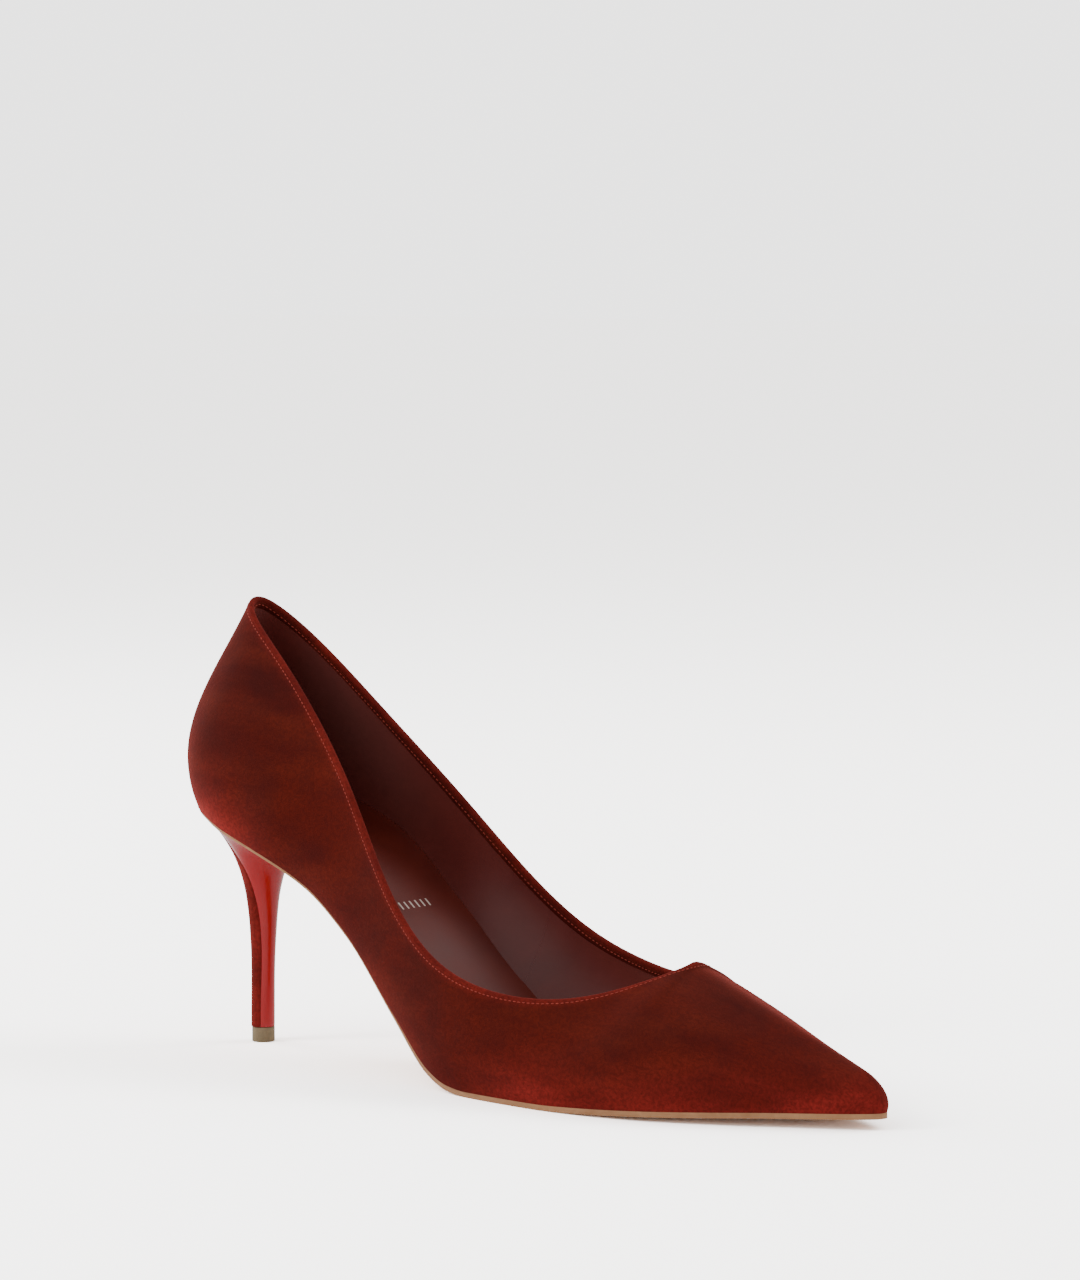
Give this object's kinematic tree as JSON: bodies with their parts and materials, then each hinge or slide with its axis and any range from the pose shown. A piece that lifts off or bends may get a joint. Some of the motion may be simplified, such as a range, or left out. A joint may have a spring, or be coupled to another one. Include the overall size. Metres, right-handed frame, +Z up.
{
  "type": "high heel pump",
  "caption": "Right pointed-toe court pump with a low-cut suede upper, a smooth lining, a thin sole and a slim stiletto heel on a small top lift.",
  "frame": {"origin": "centre of the bounding box in plan, on the ground that the top lift and the tread stand on", "axes": "+X from the heel to the toe, +Y to the medial side of this right shoe, +Z up"},
  "size_m": [0.2584, 0.0766, 0.1381],
  "materials": {
    "suede": "goat suede with a short soft nap",
    "thread": "twisted polyester sewing thread",
    "backer": "stiffened woven backing cloth",
    "lining": "smooth kid lining leather with a soft sheen",
    "sock": "smooth sock leather, satin",
    "steel": "plain bright spring steel",
    "board": "dense cellulose board",
    "cork": "cork and fibre filler, rough",
    "foam": "latex foam, matt",
    "sole": "waxed tan sole leather",
    "gloss": "high gloss lacquer",
    "plastic": "moulded plastic, satin",
    "lift": "dense wear resistant rubber, matt"
  },
  "bodies": {
    "root": {"suede_upper": "suede", "topline_binding": "suede", "heel_cover": "suede", "needle_thread": "thread", "bobbin_thread": "thread", "heel_counter": "backer", "toe_puff": "backer", "vamp_backer": "backer", "topline_tape": "backer", "quarter_lining": "lining", "vamp_lining": "lining", "sock_lining": "sock", "steel_shank": "steel", "rivet_rear": "steel", "rivet_front": "steel", "heel_tube": "steel", "heel_screw": "steel", "heel_nail_1": "steel", "heel_nail_2": "steel", "heel_nail_3": "steel", "heel_nail_4": "steel", "top_lift_pin": "steel", "shank_board": "board", "insole_board": "board", "bottom_filler": "cork", "forepart_pad": "foam", "heel_pad": "foam", "outsole": "sole", "heel_breast": "gloss", "heel_core": "plastic", "top_lift": "lift"}
  },
  "joints": []
}
